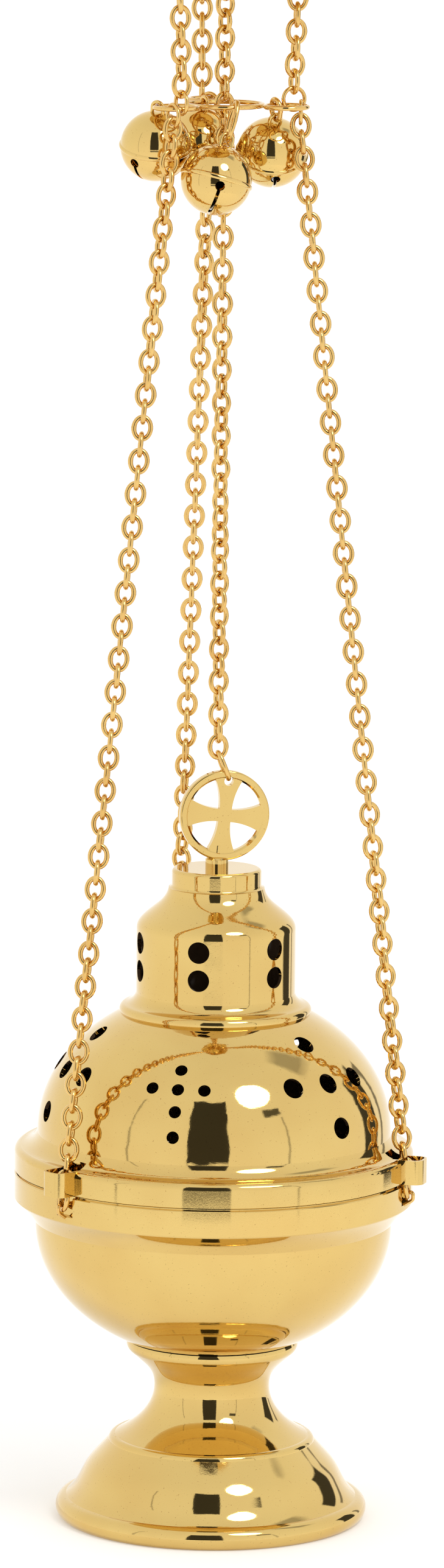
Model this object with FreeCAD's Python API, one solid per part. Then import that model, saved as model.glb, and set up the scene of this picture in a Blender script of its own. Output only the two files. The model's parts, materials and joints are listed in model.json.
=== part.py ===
import FreeCAD, Part
import math
import os

# A hanging thurible (censer): a footed bowl, a pierced lid that slides up its chains, a ring gatherer
# with four jingle bells, and a hand plate.  Millimetres, +Z up.  Everything is modelled in heights
# above the foot and moved once, at the end, so that the origin is the centre of the hand plate's top.
# An azimuth is measured about the axis from the front (-Y) towards +X.

V = FreeCAD.Vector
UP = V(0, 0, 1)

# ---- driving dimensions ------------------------------------------------------------------------

# body
FOOT_TOP_H = 58.5
FOOT_COLLAR_R = 27.5
FOOT_WALL = 1.5
BOLT_R = 3.0
BOWL_R, BOWL_DEPTH, BOWL_CENTRE_H = 57.5, 43.6, 97.0
SHELL = 1.2
SEAT_H = 114.0
BAND_R = 64.3
EDGE_ROUND = 0.35
SEAM_GAP, SEAM_DEPTH = 0.3, 1.2

# lid
DOME_R, DOME_RISE, DOME_CENTRE_H = 57.0, 46.0, 127.0
TOWER_R, TOWER_WALL = 25.6, 1.1
CAP_R, CAP_BASE_H, CAP_TOP_H = 14.4, 205.9, 212.8

# piercings: azimuths, heights and hole radii
TOWER_HOLE_R = 3.5
TOWER_HOLE_ROWS = (180.3, 189.4)
TOWER_HOLE_AZ = -12.5
BIG_CROSS_AZ, BIG_HOLE_R = 46.5, 3.45
BIG_CROSS = [(-14.2, 149.4), (0, 149.4), (14.2, 149.4), (0, 160.5), (0, 135.8)]
SMALL_CROSS_AZ, SMALL_HOLE_R = -13.5, 2.0
SMALL_CROSS = [(-8.5, 149.6), (0, 149.6), (8.5, 149.6), (0, 155.0), (0, 143.1), (0, 135.4)]

# finial: a wheel cross that leans a little and is turned a little
FINIAL_R, FINIAL_RIM, FINIAL_THICK = 14.6, 2.6, 3.2
FINIAL_CENTRE = V(2.2, 0, 230.0)
FINIAL_LEAN, FINIAL_TURN = 6.0, 12.0
FINIAL_HOLE_R, FINIAL_HOLE_AT = 1.5, 11.2
FINIAL_WEAR = 0.06
STEM_R, STEM_TOP_H = 3.7, 216.2

# chain
WIRE_R = 0.825
LINK_LONG, LINK_WIDE = 8.64, 6.95
LINK_INNER = LINK_LONG - 4 * WIRE_R
PITCH = 5.27
LUG_AZ = {"left": -47.3, "right": 72.7, "back": 192.7}
EYE_WIRE_R, EYE_H, EYE_R = 0.6, 111.3, 64.95
EYE_OUTER_R, EYE_ROOT_R = 66.95, 61.8
EYE_SHOULDER_H, EYE_BOTTOM_H = 108.8, 105.6
EYE_BENDS = (0.9, 1.3)
POCKET_R, POCKET_FLOOR_H = 62.8, 107.2
HOOK_GAP = 0.15
OUTER_LINKS = 66
LOWER_LINKS = 18
START_TWIST, TWIST_STEP, GUIDE_TWIST = 15.0, 12.0, 45.0
FACING_LINK, LAST_FACING_LINK = 28, 45
FRONT_PLANE_AZ = 90.0
SPLIT_SLACK = 0.25
TOP_SLACK = 1.3

# guides on the lid
GUIDE_OUT_R, GUIDE_HALF, GUIDE_WALL, GUIDE_ROUND = 70.8, 4.4, 0.75, 2.9
GUIDE_LOW_H, GUIDE_HIGH_H = 114.5, 122.4
GUIDE_ROOT_R, NOTCH_R = 61.0, 58.4

# gatherer: one large ring with three small rings soldered round it
GATHER_H = 457.6
GATHER_WIRE_R = 0.8
CENTRE_RING_R, SMALL_RING_R = 12.2, 6.7
SMALL_RING_AT = 20.5
HOOK_TURN = {"left": 50.0, "right": 75.0, "back": 0.0}
LOOP_R, LOOP_WIRE_R = 3.55, 0.65
LOOP_SIDE_STEP = 1.3
UPPER_LOOP_AZ = {"left": 30.0, "right": 110.0, "back": 185.0}
LOWER_LOOP_AZ = {"left": 30.0, "right": 180.0, "back": 230.0}
UPPER_LINKS = 7
UPPER_LEAN = 2.0

# hand plate
PLATE_R, PLATE_THICK, PLATE_DROP = 36.0, 2.0, 4.0
FERRULE_R, FERRULE_BORE_R, FERRULE_FLANGE_R, FERRULE_FLANGE = 5.0, 4.2, 6.6, 1.0
PLATE_EYE_R = 2.6
SHANK_R = 1.2
CENTRE_LINKS = 50
PULL_RING_R, PULL_WIRE_R = 10.0, 1.1
PULL_RING_AZ = 132.7

# bells
BELL_R, BELL_WALL = 11.25, 0.7
BELL_SEAM = 0.4
CROWN_WIRE_R, CROWN_HALF, CROWN_ARC_AT = 0.6, 1.9, 13.0
CROWN_INNER_TOP = CROWN_ARC_AT + CROWN_HALF - CROWN_WIRE_R
BELL_HOLE_R, BELL_SLIT, BELL_HOLE_POLAR = 1.55, 1.1, 76.0
PELLET_R = 2.5
LONG_LINK_INNER = 10.3


# ---- helpers -------------------------------------------------------------------------------------

def radial(azimuth):
    turn = math.radians(azimuth)
    return V(math.sin(turn), -math.cos(turn), 0)


def tangent(azimuth):
    return radial(azimuth + 90)


def place(azimuth, radius, height):
    return radial(azimuth) * radius + V(0, 0, height)


class Pen:
    """Draws a closed outline of radius against height and turns it about the axis."""

    def __init__(self, radius, height):
        self.start = self.here = V(radius, 0, height)
        self.edges = []

    def line(self, radius, height):
        there = V(radius, 0, height)
        self.edges.append(Part.LineSegment(self.here, there).toShape())
        self.here = there
        return self

    def arc(self, through, end):
        there = V(end[0], 0, end[1])
        middle = V(through[0], 0, through[1])
        self.edges.append(Part.Arc(self.here, middle, there).toShape())
        self.here = there
        return self

    def curve(self, points):
        knots = [self.here] + [V(r, 0, h) for r, h in points]
        spline = Part.BSplineCurve()
        spline.interpolate(knots)
        self.edges.append(spline.toShape())
        self.here = knots[-1]
        return self

    def ellipse(self, half_width, half_height, centre_h, end_h):
        """Follow an ellipse about the axis to the given height."""
        below = end_h < centre_h or self.here.z < centre_h
        tip = V(0, 0, centre_h - half_height if below else centre_h + half_height)
        oval = Part.Ellipse(V(half_width, 0, centre_h), tip, V(0, 0, centre_h))
        sine = abs(end_h - centre_h) / half_height
        there = V(half_width * math.sqrt(max(0.0, 1 - sine * sine)), 0, end_h)
        ends = sorted((oval.parameter(self.here) % (2 * math.pi), oval.parameter(there) % (2 * math.pi)))
        self.edges.append(Part.ArcOfEllipse(oval, ends[0], ends[1]).toShape())
        self.here = there
        return self

    def turned(self):
        if (self.here - self.start).Length > 1e-6:
            self.line(self.start.x, self.start.z)
        face = Part.Face(Part.Wire(self.edges))
        return face.revolve(V(0, 0, 0), UP, 360)


def ellipse_radius(half_width, half_height, centre_h, height):
    return half_width * math.sqrt(1 - ((height - centre_h) / half_height) ** 2)


def ellipse_height(half_width, half_height, centre_h, radius):
    return centre_h + half_height * math.sqrt(1 - (radius / half_width) ** 2)


def inset(points, wall):
    """The same outline, moved in by the wall's thickness."""
    moved = []
    for i, (r, h) in enumerate(points):
        before = points[max(i - 1, 0)]
        after = points[min(i + 1, len(points) - 1)]
        along = V(after[0] - before[0], after[1] - before[1], 0).normalize()
        moved.append((r - wall * along.y, h + wall * along.x))
    return moved


def cylinder(radius, low, high, centre=V(0, 0, 0)):
    return Part.makeCylinder(radius, high - low, V(centre.x, centre.y, low), UP)


def hexagon_nut(across_corners, bore, low, high):
    corners = [V(across_corners * math.cos(a), across_corners * math.sin(a), low)
               for a in (math.radians(60 * i) for i in range(7))]
    body = Part.Face(Part.makePolygon(corners)).extrude(V(0, 0, high - low))
    return body.cut(cylinder(bore, low, high))


def ring(radius, wire_r, centre, normal):
    return Part.makeTorus(radius, wire_r, centre, normal)


def bent_wire(points, bends, wire_r):
    """A wire through the points, with an arc of the given radius at each inner point."""
    edges = []
    here = points[0]
    for corner, after, bend in zip(points[1:-1], points[2:], bends):
        back = (here - corner).normalize()
        on = (after - corner).normalize()
        half = back.getAngle(on) / 2
        reach = bend / math.tan(half)
        first = corner + back * reach
        last = corner + on * reach
        middle = corner + (back + on).normalize() * (bend / math.sin(half) - bend)
        if (first - here).Length > 1e-6:
            edges.append(Part.LineSegment(here, first).toShape())
        edges.append(Part.Arc(first, middle, last).toShape())
        here = last
    if (points[-1] - here).Length > 1e-6:
        edges.append(Part.LineSegment(here, points[-1]).toShape())
    path = Part.Wire(edges)
    along = points[1] - points[0]
    section = Part.Wire(Part.Circle(points[0], along, wire_r).toShape())
    return path.makePipeShell([section], True, False)


def straight_link(long_outer, wide, wire_r):
    """A link standing along Z in the XZ plane, centred on the origin."""
    bend = wide / 2 - wire_r
    half = long_outer / 2 - wide / 2
    pieces = []
    for side in (-1, 1):
        pieces.append(Part.makeCylinder(wire_r, 2 * half, V(side * bend, 0, -half), UP))
        whole = Part.makeTorus(bend, wire_r, V(0, 0, side * half), V(0, 1, 0))
        keep = Part.makeBox(2 * wide, 2 * wide, wide, V(-wide, -wide, half if side > 0 else -half - wide))
        pieces.append(whole.common(keep))
    return pieces[0].multiFuse(pieces[1:]).removeSplitter()


def aim(shape, centre, along, across):
    """Copy a shape drawn along Z in the XZ plane to a centre, a direction and its plane."""
    z = V(along).normalize()
    y = z.cross(across).normalize()
    x = y.cross(z)
    turn = FreeCAD.Matrix(x.x, y.x, z.x, centre.x,
                          x.y, y.y, z.y, centre.y,
                          x.z, y.z, z.z, centre.z,
                          0, 0, 0, 1)
    placed = shape.copy()
    placed.transformShape(turn)
    return placed


def spun(direction, axis, degrees):
    return FreeCAD.Rotation(axis, degrees).multVec(direction)


LINK = straight_link(LINK_LONG, LINK_WIDE, WIRE_R)


def chain(first, along, side, pitch, angles):
    """Links along a line; each angle turns one link's plane about the line, from the side direction."""
    links = []
    for i, angle in enumerate(angles):
        links.append(aim(LINK, first + along * (pitch * i), along, spun(side, along, angle)))
    return links


# ---- foot and bowl -------------------------------------------------------------------------------

def make_foot():
    skirt = [(46.9, 7.0), (43.6, 11.0), (40.4, 17.0), (37.1, 21.0), (33.3, 25.2)]
    trumpet = [(31.2, 27.0), (25.1, 31.0), (21.4, 35.0), (19.2, 39.4), (18.65, 43.0),
               (19.4, 47.2), (22.3, 51.0), (26.8, 55.0)]
    under = inset(skirt + trumpet, FOOT_WALL)
    under.reverse()
    pen = Pen(46.4, 0).line(48.5, 0).arc((50.3, 4.0), skirt[0])
    pen.curve(skirt[1:]).arc((32.7, 26.5), trumpet[0]).curve(trumpet[1:])
    pen.arc((27.7, 56.6), (FOOT_COLLAR_R, FOOT_TOP_H)).line(BOLT_R, FOOT_TOP_H)
    pen.line(BOLT_R, under[0][1]).line(*under[0]).curve(under[1:])
    return pen.turned()


def make_bowl():
    inner_r, inner_depth = BOWL_R - SHELL, BOWL_DEPTH - SHELL
    floor_h = FOOT_TOP_H + FOOT_WALL
    pen = Pen(BOLT_R, FOOT_TOP_H)
    pen.line(ellipse_radius(BOWL_R, BOWL_DEPTH, BOWL_CENTRE_H, FOOT_TOP_H), FOOT_TOP_H)
    pen.ellipse(BOWL_R, BOWL_DEPTH, BOWL_CENTRE_H, BOWL_CENTRE_H)
    pen.line(BOWL_R, SEAT_H).line(inner_r, SEAT_H).line(inner_r, BOWL_CENTRE_H)
    pen.ellipse(inner_r, inner_depth, BOWL_CENTRE_H, floor_h).line(BOLT_R, floor_h)
    return pen.turned()


def make_eye(azimuth):
    """A bail of bent wire, upright, that leans back into the band below."""
    route = [
        (EYE_ROOT_R, EYE_H),
        (EYE_OUTER_R, EYE_H),
        (EYE_OUTER_R, EYE_SHOULDER_H),
        (EYE_ROOT_R, EYE_BOTTOM_H),
    ]
    return bent_wire([place(azimuth, r, h) for r, h in route], EYE_BENDS, EYE_WIRE_R)


def make_bowl_band(eyes):
    pen = Pen(BOWL_R, 98.4).line(58.1, 98.4).arc((60.9, 102.0), (64.0, 104.9))
    pen.line(BAND_R, 105.3).line(BAND_R, SEAT_H - SEAM_GAP - EDGE_ROUND)
    pen.line(BAND_R - EDGE_ROUND, SEAT_H - SEAM_GAP).line(BAND_R - SEAM_DEPTH, SEAT_H - SEAM_GAP)
    pen.line(BAND_R - SEAM_DEPTH, SEAT_H).line(BOWL_R, SEAT_H)
    half = GUIDE_HALF - GUIDE_WALL
    pockets = [guide_prism(azimuth, half, POCKET_R, BAND_R + 2, 0, POCKET_FLOOR_H, SEAT_H + 1)
               for azimuth in LUG_AZ.values()]
    return pen.turned().cut(eyes + pockets)


def make_foot_bolt():
    floor_h = FOOT_TOP_H + FOOT_WALL
    shaft_r = BOLT_R - 0.05
    pen = Pen(0, 47.0).line(shaft_r, 47.0).line(shaft_r, floor_h).line(6.0, floor_h)
    pen.line(6.0, floor_h + 1.0).arc((5.4, floor_h + 2.4), (4.0, floor_h + 3.0)).line(0, floor_h + 3.0)
    return pen.turned()


def make_coal_pan():
    floor_h = FOOT_TOP_H + FOOT_WALL
    wall = 1.0
    stand = Pen(20.0, floor_h).line(21.2, floor_h).line(21.2, 66.0).line(20.0, 66.0).turned()
    pen = Pen(0, 66.0).line(34.0, 66.0).arc((42.4, 75.0), (46.0, 91.0))
    pen.arc((47.6, 92.0), (46.0, 93.0)).line(46.0 - wall, 93.0)
    pen.arc((41.4, 75.6), (33.6, 66.0 + wall)).line(0, 66.0 + wall)
    return pen.turned().fuse(stand).removeSplitter()


# ---- lid -----------------------------------------------------------------------------------------

def pierce(shell, azimuth, holes, hole_r, turns, radius_at):
    """Drill holes given as offsets along the shell at a height, square to the surface."""
    drills = []
    for turn in range(turns):
        for offset, height in holes:
            at = azimuth + 360.0 / turns * turn + math.degrees(offset / radius_at(height))
            step = 0.5
            slope = (radius_at(height + step) - radius_at(height - step)) / (2 * step)
            normal = (radial(at) - UP * slope).normalize()
            centre = place(at, radius_at(height), height)
            drills.append(Part.makeCylinder(hole_r, 10, centre - normal * 5, normal))
    return shell.cut(drills)


def dome_radius(height):
    return ellipse_radius(DOME_R, DOME_RISE, DOME_CENTRE_H, height)


def make_dome():
    inner_r, inner_rise = DOME_R - SHELL, DOME_RISE - SHELL
    mouth_r = TOWER_R - TOWER_WALL
    top_h = ellipse_height(DOME_R, DOME_RISE, DOME_CENTRE_H, mouth_r)
    inner_top_h = ellipse_height(inner_r, inner_rise, DOME_CENTRE_H, mouth_r)
    pen = Pen(DOME_R, SEAT_H).line(DOME_R, DOME_CENTRE_H)
    pen.ellipse(DOME_R, DOME_RISE, DOME_CENTRE_H, top_h).line(mouth_r, inner_top_h)
    pen.ellipse(inner_r, inner_rise, DOME_CENTRE_H, DOME_CENTRE_H).line(inner_r, SEAT_H)
    dome = pen.turned()
    dome = pierce(dome, BIG_CROSS_AZ, BIG_CROSS, BIG_HOLE_R, 3, dome_radius)
    return pierce(dome, SMALL_CROSS_AZ, SMALL_CROSS, SMALL_HOLE_R, 3, dome_radius)


def guide_prism(azimuth, half, inner_r, outer_r, rounding, low, high):
    out, side = radial(azimuth), tangent(azimuth)
    corners = [(inner_r, -half), (outer_r, -half), (outer_r, half), (inner_r, half)]
    box = Part.Face(Part.makePolygon([out * r + side * s + V(0, 0, low) for r, s in corners + corners[:1]]))
    solid = box.extrude(V(0, 0, high - low))
    if rounding:
        outer = [e for e in solid.Edges
                 if abs(e.tangentAt(0).z) > 0.9 and e.CenterOfMass.dot(out) > outer_r - 0.01]
        solid = solid.makeFillet(rounding, outer)
    return solid


def make_guide(azimuth):
    outer = guide_prism(azimuth, GUIDE_HALF, GUIDE_ROOT_R, GUIDE_OUT_R, GUIDE_ROUND,
                        GUIDE_LOW_H, GUIDE_HIGH_H)
    inner = guide_prism(azimuth, GUIDE_HALF - GUIDE_WALL, GUIDE_ROOT_R - 1, GUIDE_OUT_R - GUIDE_WALL,
                        GUIDE_ROUND - GUIDE_WALL, GUIDE_LOW_H - 1, GUIDE_HIGH_H + 1)
    return outer.cut(inner)


def make_lid_band():
    pen = Pen(DOME_R, SEAT_H).line(BAND_R - SEAM_DEPTH, SEAT_H)
    pen.line(BAND_R - SEAM_DEPTH, SEAT_H + SEAM_GAP).line(BAND_R - EDGE_ROUND, SEAT_H + SEAM_GAP)
    pen.line(BAND_R, SEAT_H + SEAM_GAP + EDGE_ROUND)
    pen.line(BAND_R, 120.3).arc((63.7, 121.8), (62.2, 122.4))
    pen.curve([(60.0, 123.1), (58.2, 124.6), (DOME_R, 126.8)])
    band = pen.turned()
    for azimuth in LUG_AZ.values():
        notch = guide_prism(azimuth, GUIDE_HALF - GUIDE_WALL, NOTCH_R, BAND_R + 2, 0, SEAT_H - 1, 130)
        socket = guide_prism(azimuth, GUIDE_HALF, GUIDE_ROOT_R, BAND_R + 2, 0, GUIDE_LOW_H, 130)
        band = band.cut([notch, socket])
    return band


def make_locating_lip():
    outer_r = DOME_R - SHELL
    pen = Pen(outer_r - 1.0, 109.6).line(outer_r - 0.4, 109.6).line(outer_r, 110.2)
    pen.line(outer_r, 119.0).line(outer_r - 1.0, 119.0)
    return pen.turned()


def make_tower_ring():
    foot_r = 30.6
    foot_h = ellipse_height(DOME_R, DOME_RISE, DOME_CENTRE_H, foot_r)
    top_h = ellipse_height(DOME_R, DOME_RISE, DOME_CENTRE_H, TOWER_R)
    pen = Pen(foot_r, foot_h).arc((30.9, 167.2), (29.4, 168.8))
    pen.curve([(28.0, 169.3), (26.5, 170.5), (TOWER_R, 172.4)]).line(TOWER_R, top_h)
    pen.ellipse(DOME_R, DOME_RISE, DOME_CENTRE_H, foot_h)
    return pen.turned()


def make_tower():
    shoulder = [(TOWER_R, 193.2), (25.1, 195.3), (23.5, 197.3), (20.3, 200.0), (17.2, 202.8),
                (15.6, CAP_BASE_H)]
    inner = inset(shoulder, TOWER_WALL)
    inner[0] = (TOWER_R - TOWER_WALL, shoulder[0][1])
    inner.reverse()
    base_h = ellipse_height(DOME_R, DOME_RISE, DOME_CENTRE_H, TOWER_R - TOWER_WALL)
    pen = Pen(TOWER_R - TOWER_WALL, base_h).line(TOWER_R, base_h).line(*shoulder[0])
    pen.curve(shoulder[1:]).line(*inner[0]).curve(inner[1:])
    holes = [(0, h) for h in TOWER_HOLE_ROWS]
    return pierce(pen.turned(), TOWER_HOLE_AZ, holes, TOWER_HOLE_R, 6, lambda height: TOWER_R)


def make_tower_cap():
    stud_r = 2.0
    pen = Pen(CAP_R - 1.1, CAP_BASE_H).line(15.6, CAP_BASE_H).line(15.4, CAP_BASE_H + 0.7)
    pen.arc((14.7, CAP_BASE_H + 1.0), (CAP_R, CAP_BASE_H + 1.7)).line(CAP_R, CAP_TOP_H - 1.2)
    pen.arc((14.05, CAP_TOP_H - 0.35), (CAP_R - 1.2, CAP_TOP_H)).line(stud_r, CAP_TOP_H)
    pen.line(stud_r, CAP_TOP_H - 1.1).line(CAP_R - 1.1, CAP_TOP_H - 1.1)
    return pen.turned()


def make_finial_stem():
    stud_r = 1.95
    pen = Pen(0, 206.5).line(stud_r, 206.5).line(stud_r, CAP_TOP_H).line(STEM_R, CAP_TOP_H)
    pen.line(STEM_R, STEM_TOP_H - 0.5).line(STEM_R - 0.5, STEM_TOP_H).line(0, STEM_TOP_H)
    return pen.turned()


def finial_frame():
    """The wheel's up and face directions."""
    face = spun(V(0, -1, 0), UP, FINIAL_TURN)
    up = spun(UP, V(0, 1, 0), FINIAL_LEAN)
    return up, face


def make_finial():
    rim_mid = FINIAL_R - FINIAL_RIM / 2
    half = FINIAL_THICK / 2
    soft = 0.6
    pen = Pen(FINIAL_R - FINIAL_RIM, -half + soft).line(FINIAL_R - FINIAL_RIM + soft, -half)
    pen.line(FINIAL_R - soft, -half).arc((FINIAL_R - 0.18, -half + 0.18), (FINIAL_R, -half + soft))
    pen.line(FINIAL_R, half - soft).arc((FINIAL_R - 0.18, half - 0.18), (FINIAL_R - soft, half))
    pen.line(FINIAL_R - FINIAL_RIM + soft, half).line(FINIAL_R - FINIAL_RIM, half - soft)
    wheel = pen.turned()
    wheel.rotate(V(0, 0, 0), V(1, 0, 0), 90)
    waist, flare, arm_half = 2.0, 5.45, 1.3
    pieces = [wheel, Part.makeBox(2 * waist, 2 * arm_half, 2 * waist, V(-waist, -arm_half, -waist))]
    for quarter in range(4):
        root, tip = waist - 0.3, rim_mid
        near_left, near_right = V(-waist, -arm_half, root), V(waist, -arm_half, root)
        far_left, far_right = V(-flare, -arm_half, tip), V(flare, -arm_half, tip)
        bend = V(2.8, 0, 0)
        middle = V(0, -arm_half, 7.6)
        edges = [Part.LineSegment(near_left, near_right).toShape(),
                 Part.Arc(near_right, middle + bend, far_right).toShape(),
                 Part.LineSegment(far_right, far_left).toShape(),
                 Part.Arc(far_left, middle - bend, near_left).toShape()]
        arm = Part.Face(Part.Wire(edges)).extrude(V(0, 2 * arm_half, 0))
        arm.rotate(V(0, 0, 0), V(0, 1, 0), 90 * quarter)
        pieces.append(arm)
    cross = pieces[0].multiFuse(pieces[1:]).removeSplitter()
    drill = Part.makeCylinder(FINIAL_HOLE_R, 10, V(0, -5, FINIAL_HOLE_AT), V(0, 1, 0))
    cross = cross.cut(drill)
    up, face = finial_frame()
    placed = aim(cross, FINIAL_CENTRE, up, spun(V(1, 0, 0), UP, FINIAL_TURN))
    neck = Part.makeCylinder(1.6, 4.0, V(0, 0, STEM_TOP_H), V(0.35, 0, 4).normalize())
    return placed.fuse(neck).removeSplitter().cut(finial_link_shape(FINIAL_WEAR))


# ---- chains --------------------------------------------------------------------------------------

def hook_point(side, step=0.0):
    """Where a chain's loops hook the small ring: a point on its wire, moved along it by a step."""
    azimuth = LUG_AZ[side]
    turn = azimuth + HOOK_TURN[side] + math.degrees(step / SMALL_RING_R)
    return place(azimuth, SMALL_RING_AT, GATHER_H) + radial(turn) * SMALL_RING_R


def outer_line(side):
    """A chain's start on its eye, its direction, its pitch and its place beside the line."""
    start = place(LUG_AZ[side], EYE_R, EYE_H)
    loop_reach = 2 * LOOP_R - LOOP_WIRE_R - GATHER_WIRE_R - 0.05
    end = hook_point(side, -LOOP_SIDE_STEP) - UP * loop_reach
    along = (end - start).normalize()
    first = LINK_INNER / 2 - EYE_WIRE_R - HOOK_GAP
    last = (end - start).Length + TOP_SLACK + LOOP_WIRE_R - LINK_INNER / 2
    pitch = (last - first + SPLIT_SLACK) / (OUTER_LINKS - 1)
    outward = V(-along.x, -along.y, 0).normalize()
    return start, along, pitch, first, outward


def nearest(angle, target, period):
    return target + (angle - target + period / 2) % period - period / 2


def ramp(value, start, end):
    return min(1.0, max(0.0, (value - start) / (end - start)))


def outer_angles(side):
    """Each link's turn about the line: near square to the eye, diagonal in the guide, facing the front
    higher up, and square to the loop at the top."""
    outward = outer_line(side)[4]
    lug_turn = math.degrees(math.atan2(outward.x, -outward.y))
    facing = nearest(FRONT_PLANE_AZ - lug_turn, 0, 90)
    way = math.copysign(1.0, facing)
    top = nearest(LOWER_LOOP_AZ[side] + 90 - lug_turn, facing, 180)
    turns = []
    for i in range(OUTER_LINKS):
        twist = way * min(START_TWIST + TWIST_STEP * i, GUIDE_TWIST)
        twist += (facing - way * GUIDE_TWIST) * ramp(i, LOWER_LINKS, FACING_LINK)
        twist += (top - facing) * ramp(i, LAST_FACING_LINK, OUTER_LINKS - 1)
        turns.append(twist + (90.0 if i % 2 == 0 else 0.0))
    return turns


def make_outer_chain(side):
    start, along, pitch, first, outward = outer_line(side)
    angles = outer_angles(side)
    lower = chain(start + along * first, along, outward, pitch, angles[:LOWER_LINKS])
    begin = start + along * (first + pitch * LOWER_LINKS - SPLIT_SLACK)
    upper = chain(begin, along, outward, pitch, angles[LOWER_LINKS:])
    return lower, upper


def split_point(side):
    start, along, pitch, first, outward = outer_line(side)
    top_inside = first + pitch * (LOWER_LINKS - 1) + LINK_INNER / 2
    return start + along * (top_inside - SPLIT_SLACK / 2)


def upper_line(side):
    base = hook_point(side, LOOP_SIDE_STEP)
    loop_top = 2 * LOOP_R - 2 * LOOP_WIRE_R - GATHER_WIRE_R - 0.05
    lean = math.radians(UPPER_LEAN)
    along = radial(LUG_AZ[side]) * math.sin(lean) + UP * math.cos(lean)
    return base + V(0, 0, loop_top - 0.05 + LINK_INNER / 2), along


def upper_azimuths(side):
    """Where each hanger link's plane points: square to its loop, then turning to face the front."""
    start = UPPER_LOOP_AZ[side] + 90
    creep = (nearest(FRONT_PLANE_AZ, start, 90) - start) / (UPPER_LINKS - 1)
    return [start + creep * i + (90.0 if i % 2 else 0.0) for i in range(UPPER_LINKS)]


def make_upper_chain(side):
    first, along = upper_line(side)
    return chain(first, along, radial(0), PITCH, upper_azimuths(side))


def make_loops():
    """The larger loops that join the chains to the gatherer's small rings."""
    reach = LOOP_R - LOOP_WIRE_R - GATHER_WIRE_R - 0.05
    loops = []
    for side in LUG_AZ:
        for azimuth, way in ((UPPER_LOOP_AZ[side], 1), (LOWER_LOOP_AZ[side], -1)):
            centre = hook_point(side, way * LOOP_SIDE_STEP) + UP * (way * reach)
            loops.append(ring(LOOP_R, LOOP_WIRE_R, centre, tangent(azimuth)))
    return loops


# centre chain: from the finial's hole to the pull ring above the plate

def finial_link_ends():
    up = finial_frame()[0]
    low = FINIAL_CENTRE + up * (FINIAL_HOLE_AT + FINIAL_HOLE_R - WIRE_R - 0.08)
    high = V(0, 0, 250.3)
    return low, high


def finial_link_shape(gap=0.0):
    """The long link through the wheel's hole, or the slightly larger space that it has worn there."""
    low, high = finial_link_ends()
    face = finial_frame()[1]
    length = (high - low).Length + 2 * (WIRE_R + gap)
    link = straight_link(length, LINK_WIDE + 2 * gap, WIRE_R + gap)
    return aim(link, (low + high) * 0.5, high - low, face)


CENTRE_FIRST_H = finial_link_ends()[1].z - WIRE_R - 0.06 + LINK_INNER / 2
CENTRE_LAST_H = CENTRE_FIRST_H + PITCH * (CENTRE_LINKS - 1)
PULL_H = CENTRE_LAST_H + LINK_INNER / 2 - 0.06 - PULL_WIRE_R
PLATE_TOP_H = PULL_H - PULL_WIRE_R - 0.06 - FERRULE_FLANGE


def make_centre_chain():
    face = finial_frame()[1]
    first_turn = math.degrees(math.atan2(face.x, -face.y)) + 90
    last_turn = PULL_RING_AZ + (90 if CENTRE_LINKS % 2 == 0 else 0)
    creep = ((last_turn - first_turn) % 180) / (CENTRE_LINKS - 1)
    angles = [creep * i + (90.0 if i % 2 else 0.0) for i in range(CENTRE_LINKS)]
    return chain(V(0, 0, CENTRE_FIRST_H), UP, radial(first_turn), PITCH, angles)


# ---- hand plate ----------------------------------------------------------------------------------

def plate_eye_place(side):
    first, along = upper_line(side)
    top = first + along * (PITCH * (UPPER_LINKS - 1))
    return top + UP * (LINK_INNER / 2 - 0.06 - EYE_WIRE_R + PLATE_EYE_R)


def make_plate():
    low = PLATE_TOP_H - PLATE_THICK
    pen = Pen(FERRULE_R, low).line(PLATE_R - 5.0, low)
    pen.arc((PLATE_R - 2.9, low - 0.9), (PLATE_R - 2.0, PLATE_TOP_H - PLATE_DROP))
    pen.arc((PLATE_R - 1.0, PLATE_TOP_H - PLATE_DROP - 1.0), (PLATE_R, PLATE_TOP_H - PLATE_DROP))
    pen.arc((PLATE_R - 1.4, PLATE_TOP_H - 1.5), (PLATE_R - 5.0, PLATE_TOP_H)).line(FERRULE_R, PLATE_TOP_H)
    plate = pen.turned()
    for side in LUG_AZ:
        plate = plate.cut(cylinder(SHANK_R, low - 1, PLATE_TOP_H + 1, plate_eye_place(side)))
    return plate


def make_plate_eye(side):
    centre = plate_eye_place(side)
    eye = ring(PLATE_EYE_R, EYE_WIRE_R, centre, radial(upper_azimuths(side)[-1]))
    shank = cylinder(SHANK_R, centre.z + PLATE_EYE_R - 0.2, PLATE_TOP_H + 2.6, centre)
    return eye.fuse(shank).removeSplitter()


def make_plate_nut(side):
    centre = plate_eye_place(side)
    nut = hexagon_nut(3.0, SHANK_R, PLATE_TOP_H, PLATE_TOP_H + 2.2)
    nut.translate(V(centre.x, centre.y, 0))
    return nut


def make_ferrule():
    low = PLATE_TOP_H - PLATE_THICK
    pen = Pen(FERRULE_BORE_R, low - 0.8).line(FERRULE_FLANGE_R, low - 0.8).line(FERRULE_FLANGE_R, low)
    pen.line(FERRULE_R, low).line(FERRULE_R, PLATE_TOP_H).line(FERRULE_FLANGE_R, PLATE_TOP_H)
    pen.line(FERRULE_FLANGE_R, PLATE_TOP_H + FERRULE_FLANGE - 0.3)
    pen.line(FERRULE_FLANGE_R - 0.3, PLATE_TOP_H + FERRULE_FLANGE)
    pen.line(FERRULE_BORE_R, PLATE_TOP_H + FERRULE_FLANGE)
    return pen.turned()


def make_pull_ring():
    centre = place(PULL_RING_AZ, PULL_RING_R, PULL_H)
    return ring(PULL_RING_R, PULL_WIRE_R, centre, UP)


# ---- bells ---------------------------------------------------------------------------------------

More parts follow.
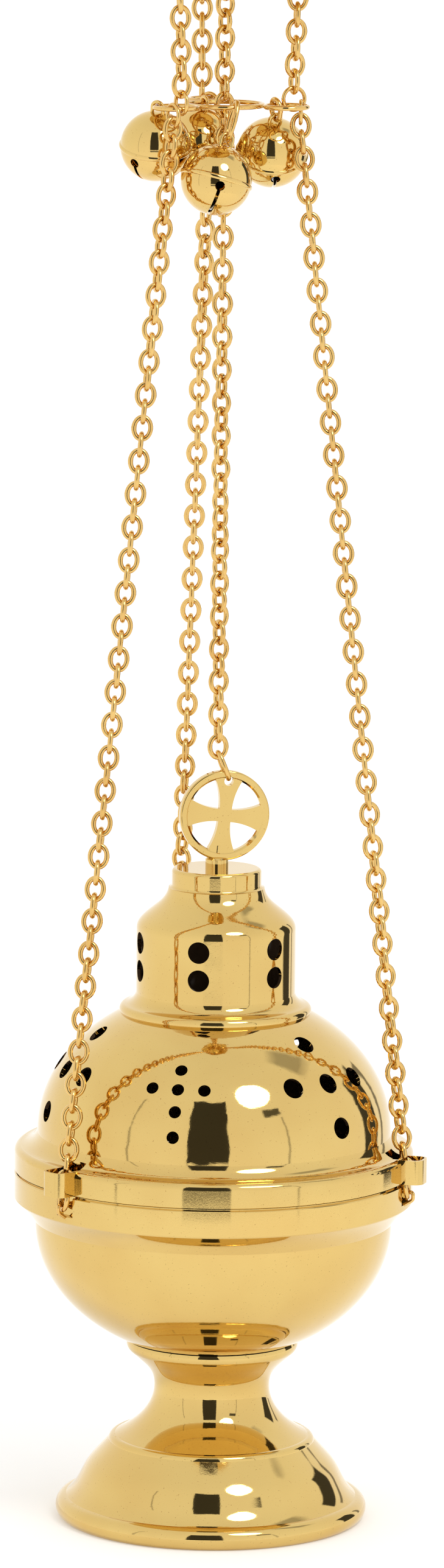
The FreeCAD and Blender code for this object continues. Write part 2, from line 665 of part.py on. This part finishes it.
# each bell: the ring that it hangs from, where round that ring, where its centre comes in plan,
# the inner length of the link between (0 where its crown loop hooks the ring itself), and the
# azimuth that its slot faces
BELLS = {
    "left": ("left", -119.0, (-21.5, -6.6), 0.0, -35.0),
    "right": ("right", 207.3, (15.3, 9.6), LINK_INNER, 8.0),
    "back": ("centre", 211.2, (-7.9, 12.8), 0.0, 20.0),
    "front": ("centre", 16.7, (-2.3, -16.0), LONG_LINK_INNER, 8.0),
}


def bell_hook(name):
    ring_name, turn, plan, link_inner, slot = BELLS[name]
    if ring_name == "centre":
        return place(turn, CENTRE_RING_R, GATHER_H)
    return place(LUG_AZ[ring_name], SMALL_RING_AT, GATHER_H) + radial(turn) * SMALL_RING_R


def bell_centre(name):
    ring_name, turn, plan, link_inner, slot = BELLS[name]
    hook = bell_hook(name)
    hang = CROWN_INNER_TOP - GATHER_WIRE_R - HOOK_GAP
    if link_inner:
        hang += link_inner - HOOK_GAP
    off = V(plan[0] - hook.x, plan[1] - hook.y, 0)
    return V(plan[0], plan[1], hook.z - math.sqrt(hang * hang - off.dot(off)))


def crown_half_shape():
    inner_r = BELL_R - BELL_WALL
    slant = math.sqrt(0.5)
    pen = Pen(inner_r, 0).line(BELL_R, 0).arc((BELL_R * slant, BELL_R * slant), (0, BELL_R))
    pen.line(0, inner_r).arc((inner_r * slant, inner_r * slant), (inner_r, 0))
    root_h = 10.9
    legs = [V(side * CROWN_HALF, 0, CROWN_ARC_AT) for side in (-1, 1)]
    roots = [V(side * CROWN_HALF, 0, root_h) for side in (-1, 1)]
    edges = [Part.LineSegment(roots[0], legs[0]).toShape(),
             Part.Arc(legs[0], V(0, 0, CROWN_ARC_AT + CROWN_HALF), legs[1]).toShape(),
             Part.LineSegment(legs[1], roots[1]).toShape()]
    section = Part.Wire(Part.Circle(roots[0], UP, CROWN_WIRE_R).toShape())
    staple = Part.Wire(edges).makePipeShell([section], True, False)
    return pen.turned().fuse(staple).removeSplitter()


def mouth_half_shape():
    inner_r = BELL_R - BELL_WALL
    slant = math.sqrt(0.5)
    seam_h = 0.8
    seam_r = math.sqrt(BELL_R ** 2 - seam_h ** 2)
    pen = Pen(0, -BELL_R).arc((BELL_R * slant, -BELL_R * slant), (seam_r, -seam_h))
    pen.arc((BELL_R + BELL_SEAM, 0), (seam_r, seam_h))
    pen.arc((math.sqrt(BELL_R ** 2 - 0.16), 0.4), (BELL_R, 0)).line(inner_r, 0)
    pen.arc((inner_r * slant, -inner_r * slant), (0, -inner_r))
    polar = math.radians(BELL_HOLE_POLAR)
    reach, depth = BELL_R * math.sin(polar), BELL_R * math.cos(polar)
    slit = Part.makeBox(2 * reach, BELL_SLIT, 20, V(-reach, -BELL_SLIT / 2, -depth - 20))
    tools = [slit]
    for side in (-1, 1):
        out = V(side * math.sin(polar), 0, -math.cos(polar))
        tools.append(Part.makeCylinder(BELL_HOLE_R, 8, out * (BELL_R - 4), out))
    return pen.turned().cut(tools)


def make_bell(name, crown, mouth):
    ring_name, turn, plan, link_inner, slot = BELLS[name]
    hook, centre = bell_hook(name), bell_centre(name)
    up = (hook - centre).normalize()
    across = radial(turn + 90 if link_inner else turn)
    pieces = {"bell_%s_crown" % name: aim(crown, centre, up, across),
              "bell_%s_mouth" % name: aim(mouth, centre, up, radial(slot))}
    pellet_centre = centre - UP * (BELL_R - BELL_WALL - PELLET_R - 0.1)
    pieces["bell_%s_pellet" % name] = Part.makeSphere(PELLET_R, pellet_centre)
    if link_inner:
        long_outer = link_inner + 4 * WIRE_R
        middle = hook + up * (GATHER_WIRE_R + HOOK_GAP - link_inner / 2)
        link = straight_link(long_outer, LINK_WIDE, WIRE_R)
        pieces["bell_%s_link" % name] = aim(link, middle, up, radial(turn))
    return pieces


# ---- all nodes -----------------------------------------------------------------------------------

def make_nodes():
    nodes = {"foot": make_foot(), "bowl": make_bowl()}
    eyes = [make_eye(azimuth) for azimuth in LUG_AZ.values()]
    nodes["chain_eyes"] = Part.makeCompound(eyes)
    nodes["bowl_band"] = make_bowl_band(eyes)
    nodes["foot_bolt"] = make_foot_bolt()
    nodes["foot_nut"] = hexagon_nut(6.4, BOLT_R, 51.8, 56.0)
    nodes["coal_pan"] = make_coal_pan()

    nodes["lid_dome"] = make_dome()
    nodes["lid_band"] = make_lid_band()
    nodes["lid_lip"] = make_locating_lip()
    for side, azimuth in LUG_AZ.items():
        nodes["lid_guide_" + side] = make_guide(azimuth)
    nodes["tower_ring"] = make_tower_ring()
    nodes["tower"] = make_tower()
    nodes["tower_cap"] = make_tower_cap()
    nodes["finial_cross"] = make_finial()
    nodes["finial_stem"] = make_finial_stem().cut(nodes["finial_cross"])
    nodes["finial_nut"] = hexagon_nut(4.2, 1.95, CAP_TOP_H - 3.9, CAP_TOP_H - 1.1)
    nodes["finial_link"] = finial_link_shape()
    nodes["centre_chain"] = Part.makeCompound(make_centre_chain())
    nodes["pull_ring"] = make_pull_ring()

    for side in LUG_AZ:
        lower, upper = make_outer_chain(side)
        nodes["chain_%s_lower" % side] = Part.makeCompound(lower)
        nodes["chain_%s_upper" % side] = Part.makeCompound(upper)
        nodes["hanger_chain_" + side] = Part.makeCompound(make_upper_chain(side))
        nodes["gatherer_ring_" + side] = ring(SMALL_RING_R, GATHER_WIRE_R,
                                              place(LUG_AZ[side], SMALL_RING_AT, GATHER_H), UP)
    nodes["gatherer_ring_centre"] = ring(CENTRE_RING_R, GATHER_WIRE_R, V(0, 0, GATHER_H), UP)
    nodes["gatherer_loops"] = Part.makeCompound(make_loops())

    nodes["hand_plate"] = make_plate()
    nodes["plate_ferrule"] = make_ferrule()
    nodes["plate_eyes"] = Part.makeCompound([make_plate_eye(side) for side in LUG_AZ])
    nodes["plate_nuts"] = Part.makeCompound([make_plate_nut(side) for side in LUG_AZ])

    crown, mouth = crown_half_shape(), mouth_half_shape()
    for name in BELLS:
        nodes.update(make_bell(name, crown, mouth))
    return nodes


def main():
    os.makedirs("parts", exist_ok=True)
    for name, shape in make_nodes().items():
        shape.translate(V(0, 0, -PLATE_TOP_H))
        shape.exportStep("parts/%s.step" % name)
    for side in LUG_AZ:
        start, along, pitch, first, outward = outer_line(side)
        print(side, "lean", round(math.degrees(along.getAngle(UP)), 3), "pitch", round(pitch, 3))
    print("plate top above the foot", round(PLATE_TOP_H, 3))


main()
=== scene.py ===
import json
import math
import random
import bmesh
import bpy
import numpy as np
from mathutils import Matrix, Vector


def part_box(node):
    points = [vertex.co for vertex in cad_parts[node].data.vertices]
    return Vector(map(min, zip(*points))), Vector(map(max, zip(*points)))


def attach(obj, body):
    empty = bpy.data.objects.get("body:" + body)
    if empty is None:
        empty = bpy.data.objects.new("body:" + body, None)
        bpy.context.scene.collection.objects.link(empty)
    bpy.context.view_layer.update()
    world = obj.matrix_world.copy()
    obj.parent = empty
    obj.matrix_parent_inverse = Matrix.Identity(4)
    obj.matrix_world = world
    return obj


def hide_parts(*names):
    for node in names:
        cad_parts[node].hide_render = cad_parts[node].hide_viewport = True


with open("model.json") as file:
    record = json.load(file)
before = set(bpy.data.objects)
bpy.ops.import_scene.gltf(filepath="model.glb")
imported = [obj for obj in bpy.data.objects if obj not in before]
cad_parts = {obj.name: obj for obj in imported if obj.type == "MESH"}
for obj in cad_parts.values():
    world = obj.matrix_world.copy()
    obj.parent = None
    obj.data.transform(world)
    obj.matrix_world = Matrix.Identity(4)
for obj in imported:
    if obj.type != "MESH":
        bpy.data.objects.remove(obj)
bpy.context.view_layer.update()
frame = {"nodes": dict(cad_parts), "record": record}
nodes = frame["nodes"]
bodies = frame["record"]["behaviour"]["bodies"]
body_of_node = {node: body for body, members in bodies.items() for node in members}
slot_of_node = {part["node"]: part["material_slot"] for part in frame["record"]["subparts"]}

# A hanging thurible with a ring gatherer and four jingle bells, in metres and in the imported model's frame.

MM = 0.001
FOOT_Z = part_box("foot")[0].z

# camera, in metres from the object's axis and above the foot
CAMERA_BACK = 2.670
CAMERA_HEIGHT = 0.668
CAMERA_TARGET_HEIGHT = 0.240
CAMERA_ASIDE = 0.0014
CAMERA_LENS = 193.8
CAMERA_ROLL = math.radians(0.57)

# chain links and rings: points along and round the wire, how far each link may be turned at random,
# and how much thicker the wire is at its joint, over what angle
LINK_STEPS, LONG_LINK_STEPS, RING_STEPS = 28, 40, 64
WIRE_STEPS = 12
LINK_TWIST = math.radians(5)
JOINT_SWELL, RING_JOINT_SWELL = 0.07, 0.04
JOINT_ANGLE = 0.22
SEED = 11

# solder between the gatherer's rings, in wire radii: outward, along the rings and upward
SOLDER_SIZE = (1.25, 2.6, 0.86)
SOLDER_WAIST = 0.55

# texture detail, in repeats per metre
TONES, SPECKS, HAZE, WAVES, PITS, LATHE_MARKS = 38.0, 1900.0, 120.0, 55.0, 2600.0, 900.0
STAINS, SCRATCHES = 90.0, 400.0
PAPER_GRAIN = 60.0

# colours, linear
PALE_GOLD, DEEP_GOLD = (0.72, 0.51, 0.175), (0.68, 0.46, 0.15)
CHAIN_PALE, CHAIN_DEEP = (0.77, 0.51, 0.175), (0.69, 0.42, 0.125)
SPECK_BROWN = (0.33, 0.17, 0.045)
# painted shade: the dark brown given to the inside of the dome and tower, standing in for the shade inside
# the shells
INSIDE_SHADE_BROWN = (0.15, 0.095, 0.055)
FASTENER_GREY, PAN_GREY, PELLET_GREY = (0.62, 0.61, 0.60), (0.40, 0.36, 0.32), (0.58, 0.58, 0.59)
PAPER_DARK, PAPER_LIGHT = (0.86, 0.86, 0.855), (0.88, 0.88, 0.875)
PAPER_GLOW = 0.22

# studio, with angles in degrees: an azimuth of 0 is where the camera stands, and 90 is to the right
FLOOR_RADIUS = 0.6
FLOOR_GAP = 0.0001
SOFTBOX_AZIMUTH, SOFTBOX_ELEVATION, SOFTBOX_AWAY = 34.5, 51.0, 1.8
SOFTBOX_SIZE, SOFTBOX_POWER = 0.62, 7.0
TENT_LIGHT, TENT_FALL = 1.12, -0.11

# dark and dull places in the white tent: azimuths, elevations, what is left of the light, soft edge
TENT_GAPS = (
    ((-18, 10), (-16, -11.3), 0.2, 0.4),
    ((-18, 10), (-9.8, 49), 0.05, 0.6),
    ((37, 51), (31, 38), 0.12, 1.0),
    ((115, 134), (-16, 27), 0.06, 1.5),
    ((139, 144), (-16, 20), 0.25, 1.5),
    ((92, 122), (45, 68), 0.5, 6.0),
    ((-59, -57), (-16, 42), 0.5, 0.6),
    ((49, 51), (-16, 30), 0.5, 0.6),
)


# ---- camera --------------------------------------------------------------------------------------

def make_camera():
    place = Vector((CAMERA_ASIDE, -CAMERA_BACK, FOOT_Z + CAMERA_HEIGHT))
    target = Vector((CAMERA_ASIDE, 0, FOOT_Z + CAMERA_TARGET_HEIGHT))
    camera = bpy.data.objects.new("camera", bpy.data.cameras.new("camera"))
    bpy.context.scene.collection.objects.link(camera)
    turn = (target - place).to_track_quat("-Z", "Y").to_matrix() @ Matrix.Rotation(CAMERA_ROLL, 3, "Z")
    camera.matrix_world = Matrix.Translation(place) @ turn.to_4x4()
    camera.data.lens = CAMERA_LENS
    camera.data.clip_start = 0.1
    camera.data.clip_end = 200.0
    bpy.context.scene.camera = camera


# ---- materials -----------------------------------------------------------------------------------

class Shader:
    """A node material under construction, with short calls for the nodes that are used here."""

    def __init__(self, name):
        self.material = bpy.data.materials.new(name)
        self.material.use_nodes = True
        self.tree = self.material.node_tree
        self.surface = self.tree.nodes["Principled BSDF"]
        self.place = self.add("ShaderNodeTexCoord").outputs["Object"]

    def add(self, kind, **values):
        node = self.tree.nodes.new(kind)
        for key, value in values.items():
            setattr(node, key, value)
        return node

    def link(self, source, socket):
        self.tree.links.new(source, socket)

    def math(self, operation, *inputs):
        node = self.add("ShaderNodeMath", operation=operation)
        for socket, value in zip(node.inputs, inputs):
            if isinstance(value, (int, float)):
                socket.default_value = value
            else:
                self.link(value, socket)
        return node.outputs[0]

    def noise(self, per_metre, detail=3.0, roughness=0.5):
        texture = self.add("ShaderNodeTexNoise")
        texture.inputs["Scale"].default_value = per_metre
        texture.inputs["Detail"].default_value = detail
        texture.inputs["Roughness"].default_value = roughness
        self.link(self.place, texture.inputs["Vector"])
        return texture.outputs["Fac"]

    def spread(self, value, from_low, from_high, low, high):
        node = self.add("ShaderNodeMapRange")
        for socket, number in zip(node.inputs[1:5], (from_low, from_high, low, high)):
            socket.default_value = number
        self.link(value, node.inputs[0])
        return node.outputs[0]

    def mix(self, factor, first, second):
        node = self.add("ShaderNodeMix", data_type="RGBA")
        self.link(factor, node.inputs["Factor"])
        for socket, value in zip((node.inputs[6], node.inputs[7]), (first, second)):
            if isinstance(value, tuple):
                socket.default_value = (*value, 1.0)
            else:
                self.link(value, socket)
        return node.outputs[2]

    def bump(self, height, depth, strength=1.0, under=None):
        node = self.add("ShaderNodeBump")
        node.inputs["Distance"].default_value = depth
        node.inputs["Strength"].default_value = strength
        self.link(height, node.inputs["Height"])
        if under is not None:
            self.link(under, node.inputs["Normal"])
        return node.outputs[0]

    def turned_marks(self, per_metre):
        """Fine rings round the axis, as a polishing lathe leaves them, broken up by noise."""
        wave = self.add("ShaderNodeTexWave", wave_type="BANDS", bands_direction="Z", wave_profile="SIN")
        wave.inputs["Scale"].default_value = per_metre
        wave.inputs["Distortion"].default_value = 6.0
        wave.inputs["Detail"].default_value = 3.0
        wave.inputs["Detail Scale"].default_value = 0.4
        self.link(self.place, wave.inputs["Vector"])
        return wave.outputs["Fac"]

    def facing_in(self, centre):
        """1 where a shell's surface faces its own middle, which is its inside."""
        geometry = self.add("ShaderNodeNewGeometry")
        away = self.add("ShaderNodeVectorMath", operation="SUBTRACT")
        self.link(geometry.outputs["Position"], away.inputs[0])
        away.inputs[1].default_value = centre
        dot = self.add("ShaderNodeVectorMath", operation="DOT_PRODUCT")
        self.link(away.outputs[0], dot.inputs[0])
        self.link(geometry.outputs["True Normal"], dot.inputs[1])
        return self.math("LESS_THAN", dot.outputs["Value"], -0.004)


def polished_gold(name, pale, deep, roughness, wave_depth, marks=None, shade_centre=None):
    """Lacquered, gold-plated brass: slow tone changes, specks, haze, faint waves, pits and lathe marks, with
    painted shade on the inside when a shade centre is given.
    """
    s = Shader(name)
    tone = s.noise(TONES, 2.0)
    colour = s.mix(s.spread(tone, 0.35, 0.7, 0.0, 1.0), pale, deep)
    specks = s.spread(s.noise(SPECKS, 1.0), 0.71, 0.76, 0.0, 0.55)
    colour = s.mix(specks, colour, SPECK_BROWN)
    haze = s.noise(HAZE, 5.0, 0.65)
    rough = s.spread(haze, 0.3, 0.75, roughness * 0.7, roughness * 1.5)
    # painted shade: where a centre is given, the surfaces facing it (the shell's inside) are painted dark
    # brown and made rougher, standing in for shade
    if shade_centre is not None:
        inside = s.facing_in(shade_centre)
        colour = s.mix(inside, colour, INSIDE_SHADE_BROWN)
        rough = s.math("MAXIMUM", rough, s.math("MULTIPLY", inside, 0.55))
    s.link(colour, s.surface.inputs["Base Color"])
    s.link(rough, s.surface.inputs["Roughness"])
    s.surface.inputs["Metallic"].default_value = 1.0
    s.surface.inputs["Coat Weight"].default_value = 0.15
    s.surface.inputs["Coat Roughness"].default_value = 0.05
    normal = s.bump(s.noise(WAVES, 1.0), wave_depth)
    normal = s.bump(s.noise(PITS, 2.0), 0.004 * MM, 0.5, normal)
    if marks:
        normal = s.bump(s.turned_marks(marks), 0.001 * MM, 0.4, normal)
    s.link(normal, s.surface.inputs["Normal"])
    return s.material


def plain_steel(name, colour, roughness, grain, soot=0.0):
    """Machined or heat-stained steel with a fine turned grain."""
    s = Shader(name)
    blotch = s.noise(STAINS, 4.0, 0.6)
    stain = tuple(part * 0.45 for part in colour)
    stained = s.mix(s.spread(blotch, 0.4, 0.75, soot, 0.35 + soot), colour, stain)
    s.link(stained, s.surface.inputs["Base Color"])
    s.link(s.spread(s.noise(SCRATCHES, 4.0), 0.3, 0.7, roughness * 0.8, roughness * 1.25),
           s.surface.inputs["Roughness"])
    s.surface.inputs["Metallic"].default_value = 1.0
    s.link(s.bump(s.turned_marks(grain), 0.01 * MM, 0.6), s.surface.inputs["Normal"])
    return s.material


def matt_paper(name):
    s = Shader(name)
    grain = s.noise(PAPER_GRAIN, 4.0)
    s.link(s.mix(grain, PAPER_DARK, PAPER_LIGHT), s.surface.inputs["Base Color"])
    s.surface.inputs["Roughness"].default_value = 0.9
    s.surface.inputs["Specular IOR Level"].default_value = 0.2
    s.surface.inputs["Emission Color"].default_value = (1.0, 1.0, 1.0, 1.0)
    s.surface.inputs["Emission Strength"].default_value = PAPER_GLOW
    return s.material


def middle(node):
    low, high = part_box(node)
    return (low + high) / 2


def dress_frame():
    """Every CAD node that shows gets the finish that its place on the object calls for."""
    dome_middle = middle("lid_dome")
    dome_middle.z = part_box("lid_dome")[0].z
    finishes = {
        "gold_body": polished_gold("gold_body", PALE_GOLD, DEEP_GOLD, 0.045, 0.05 * MM, LATHE_MARKS),
        "gold_chain": polished_gold("gold_chain", CHAIN_PALE, CHAIN_DEEP, 0.11, 0.02 * MM),
        "gold_bell": polished_gold("gold_bell", PALE_GOLD, CHAIN_PALE, 0.05, 0.03 * MM),
        "plain_fastener": plain_steel("plain_fastener", FASTENER_GREY, 0.28, 2500.0),
        "pan_metal": plain_steel("pan_metal", PAN_GREY, 0.42, 1600.0, 0.4),
        "steel_pellet": plain_steel("steel_pellet", PELLET_GREY, 0.22, 2500.0),
    }
    tower_middle = middle("tower")
    # the dome and tower get painted shade on their insides
    special = {
        "lid_dome": polished_gold("gold_dome", PALE_GOLD, DEEP_GOLD, 0.04, 0.05 * MM,
                                  LATHE_MARKS, dome_middle),
        "tower": polished_gold("gold_tower", PALE_GOLD, DEEP_GOLD, 0.045, 0.04 * MM,
                               LATHE_MARKS, tower_middle),
    }
    for name, node in nodes.items():
        material = special.get(name, finishes[slot_of_node[name]])
        node.data.materials.clear()
        node.data.materials.append(material)
    return finishes


# ---- wire rings and chain links --------------------------------------------------------------------

def islands(node):
    """The points of each separate solid in a CAD node."""
    mesh = bmesh.new()
    mesh.from_mesh(nodes[node].data)
    bmesh.ops.remove_doubles(mesh, verts=mesh.verts, dist=1e-6)
    mesh.verts.ensure_lookup_table()
    seen = set()
    groups = []
    for start in mesh.verts:
        if start.index in seen:
            continue
        seen.add(start.index)
        queue, group = [start], []
        while queue:
            vert = queue.pop()
            group.append(vert.co[:])
            for edge in vert.link_edges:
                other = edge.other_vert(vert)
                if other.index not in seen:
                    seen.add(other.index)
                    queue.append(other)
        groups.append(np.array(group))
    mesh.free()
    return groups


def wire_frame(points):
    """A closed wire's middle, its long, wide and thin directions, and its size along each."""
    axes = np.linalg.eigh(np.cov((points - points.mean(0)).T))[1][:, ::-1].T
    spans = [points @ axis for axis in axes]
    centre = sum(axis * (span.max() + span.min()) / 2 for axis, span in zip(axes, spans))
    sizes = [span.max() - span.min() for span in spans]
    return Vector(centre), [Vector(axis) for axis in axes], sizes


def add_wire(mesh, centre, axes, sizes, swell, steps, twist):
    """One oval of round wire, a little thicker at its joint."""
    long_axis, wide_axis, thin_axis = axes
    turn = Matrix.Rotation(twist, 3, long_axis)
    wide_axis, thin_axis = turn @ wide_axis, turn @ thin_axis
    wire = sizes[2] / 2
    half_long, half_wide = sizes[0] / 2 - wire, sizes[1] / 2 - wire
    rows = []
    for i in range(steps):
        a = 2 * math.pi * i / steps
        spot = centre + long_axis * (half_long * math.cos(a)) + wide_axis * (half_wide * math.sin(a))
        outward = long_axis * (half_wide * math.cos(a)) + wide_axis * (half_long * math.sin(a))
        outward.normalize()
        thick = wire * (1 + swell * math.exp(-((a - math.pi / 2) / JOINT_ANGLE) ** 2))
        row = []
        for j in range(WIRE_STEPS):
            b = 2 * math.pi * j / WIRE_STEPS
            row.append(mesh.verts.new(spot + (outward * math.cos(b) + thin_axis * math.sin(b)) * thick))
        rows.append(row)
    for row, after in zip(rows, rows[1:] + rows[:1]):
        for j in range(WIRE_STEPS):
            k = (j + 1) % WIRE_STEPS
            mesh.faces.new((row[j], after[j], after[k], row[k]))


def finish_mesh(mesh, name, material, body, slot, *replaced):
    """Turn a bmesh into a smooth-shaded piece that rides on a body."""
    bmesh.ops.recalc_face_normals(mesh, faces=mesh.faces)
    data = bpy.data.meshes.new(name)
    mesh.to_mesh(data)
    mesh.free()
    for face in data.polygons:
        face.use_smooth = True
    data.materials.append(material)
    piece = bpy.data.objects.new(name, data)
    bpy.context.scene.collection.objects.link(piece)
    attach(piece, body)
    if replaced:
        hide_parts(*replaced)
    return piece


def smooth_wires(node, material, rng, steps=LINK_STEPS, swell=JOINT_SWELL, twist=LINK_TWIST):
    """The node's links or rings again, in finer wire, one for one where the frame has them."""
    mesh = bmesh.new()
    for points in islands(node):
        centre, axes, sizes = wire_frame(points)
        add_wire(mesh, centre, axes, sizes, swell, steps, rng.uniform(-twist, twist))
    return finish_mesh(mesh, node + "_wire", material, body_of_node[node], slot_of_node[node], node)


def make_wires(material):
    rng = random.Random(SEED)
    links = [name for name in nodes if "chain_" in name and name != "chain_eyes"]
    for name in sorted(links + ["centre_chain"]):
        smooth_wires(name, material, rng)
    for name in ("finial_link", "bell_front_link"):
        smooth_wires(name, material, rng, steps=LONG_LINK_STEPS, twist=0.0)
    rings = [name for name in nodes if name.startswith("gatherer_ring")]
    for name in sorted(rings + ["gatherer_loops", "pull_ring"]):
        smooth_wires(name, material, rng, steps=RING_STEPS, swell=RING_JOINT_SWELL, twist=0.0)


def make_solder(material):
    """A small fillet of solder where each small ring meets the large one."""
    big_low, big_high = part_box("gatherer_ring_centre")
    wire = (big_high.z - big_low.z) / 2
    hub = (big_low + big_high) / 2
    big_radius = (big_high.x - big_low.x) / 2 - wire
    outward, along, upward = (size * wire for size in SOLDER_SIZE)
    for side in ("left", "right", "back"):
        away = (middle("gatherer_ring_" + side) - hub).normalized()
        spot = hub + away * (big_radius + wire)
        mesh = bmesh.new()
        bmesh.ops.create_icosphere(mesh, subdivisions=4, radius=1.0)
        across = Vector((0, 0, 1)).cross(away)
        for vert in mesh.verts:
            x, y, z = vert.co
            pinch = SOLDER_WAIST + (1 - SOLDER_WAIST) * y * y
            vert.co = spot + away * (x * outward) + across * (y * along)
            vert.co.z += z * upward * pinch
        finish_mesh(mesh, "solder_" + side, material, "base", "gold_chain")


# ---- studio --------------------------------------------------------------------------------------


def make_floor():
    mesh = bmesh.new()
    bmesh.ops.create_circle(mesh, cap_ends=True, segments=96, radius=FLOOR_RADIUS)
    data = bpy.data.meshes.new("floor")
    mesh.to_mesh(data)
    mesh.free()
    floor = bpy.data.objects.new("floor", data)
    bpy.context.scene.collection.objects.link(floor)
    floor.location.z = FOOT_Z - FLOOR_GAP
    data.materials.append(matt_paper("floor_paper"))


class Sky:
    """A white studio tent all round, with a few dark gaps between its panels, as metal reflects it."""

    def __init__(self):
        world = bpy.data.worlds.new("studio")
        bpy.context.scene.world = world
        world.use_nodes = True
        self.tree = world.node_tree
        self.background = self.tree.nodes["Background"]
        direction = self.tree.nodes.new("ShaderNodeTexCoord").outputs["Generated"]
        parts = self.tree.nodes.new("ShaderNodeSeparateXYZ")
        self.tree.links.new(direction, parts.inputs[0])
        x, y, z = parts.outputs
        self.azimuth = self.math("ARCTAN2", x, self.math("MULTIPLY", y, -1.0))
        self.elevation = self.math("ARCSINE", z)

    def math(self, operation, *inputs):
        node = self.tree.nodes.new("ShaderNodeMath")
        node.operation = operation
        for socket, value in zip(node.inputs, inputs):
            if isinstance(value, (int, float)):
                socket.default_value = value
            else:
                self.tree.links.new(value, socket)
        return node.outputs[0]

    def band(self, value, low, high, soft):
        """1 between two angles in degrees, fading over a soft edge."""
        low, high, soft = math.radians(low), math.radians(high), math.radians(soft)
        centre, half = (low + high) / 2, (high - low) / 2
        off = self.math("ABSOLUTE", self.math("SUBTRACT", value, centre))
        inside = self.math("DIVIDE", self.math("SUBTRACT", half, off), soft)
        return self.math("MINIMUM", self.math("MAXIMUM", inside, 0.0), 1.0)

    def panel(self, light, azimuths, elevations, factor, soft=1.5):
        """Change the light within a rectangle of sky."""
        mask = self.math("MULTIPLY", self.band(self.azimuth, *azimuths, soft),
                         self.band(self.elevation, *elevations, soft))
        left = self.math("ADD", self.math("MULTIPLY", mask, factor - 1.0), 1.0)
        return self.math("MULTIPLY", light, left)

    def finish(self, light, strength):
        show_plain = self.tree.nodes.new("ShaderNodeLightPath").outputs["Is Camera Ray"]
        light = self.math("MAXIMUM", light, show_plain)
        colour = self.tree.nodes.new("ShaderNodeCombineColor")
        for socket in colour.inputs:
            self.tree.links.new(light, socket)
        self.tree.links.new(colour.outputs[0], self.background.inputs["Color"])
        self.background.inputs["Strength"].default_value = strength


def make_sky():
    sky = Sky()
    light = sky.math("ADD", sky.math("MULTIPLY", sky.elevation, TENT_FALL), TENT_LIGHT)
    for azimuths, elevations, factor, soft in TENT_GAPS:
        light = sky.panel(light, azimuths, elevations, factor, soft)
    sky.finish(light, 1.0)


def make_softbox():
    """A round softbox above and to the right, pointed at the bowl."""
    data = bpy.data.lights.new("softbox", "AREA")
    data.shape = "DISK"
    data.size = SOFTBOX_SIZE
    data.energy = SOFTBOX_POWER
    data.color = (1.0, 0.985, 0.96)
    light = bpy.data.objects.new("softbox", data)
    bpy.context.scene.collection.objects.link(light)
    bowl = middle("bowl")
    azimuth, elevation = math.radians(SOFTBOX_AZIMUTH), math.radians(SOFTBOX_ELEVATION)
    away = Vector((math.sin(azimuth) * math.cos(elevation), -math.cos(azimuth) * math.cos(elevation),
                   math.sin(elevation)))
    light.location = bowl + away * SOFTBOX_AWAY
    light.rotation_mode = "QUATERNION"
    light.rotation_quaternion = (-away).to_track_quat("-Z", "Y")


# ---- the scene -----------------------------------------------------------------------------------

make_camera()
finishes = dress_frame()
make_wires(finishes["gold_chain"])
make_solder(finishes["gold_chain"])
make_floor()
make_sky()
make_softbox()
bpy.context.scene.view_settings.view_transform = "Standard"
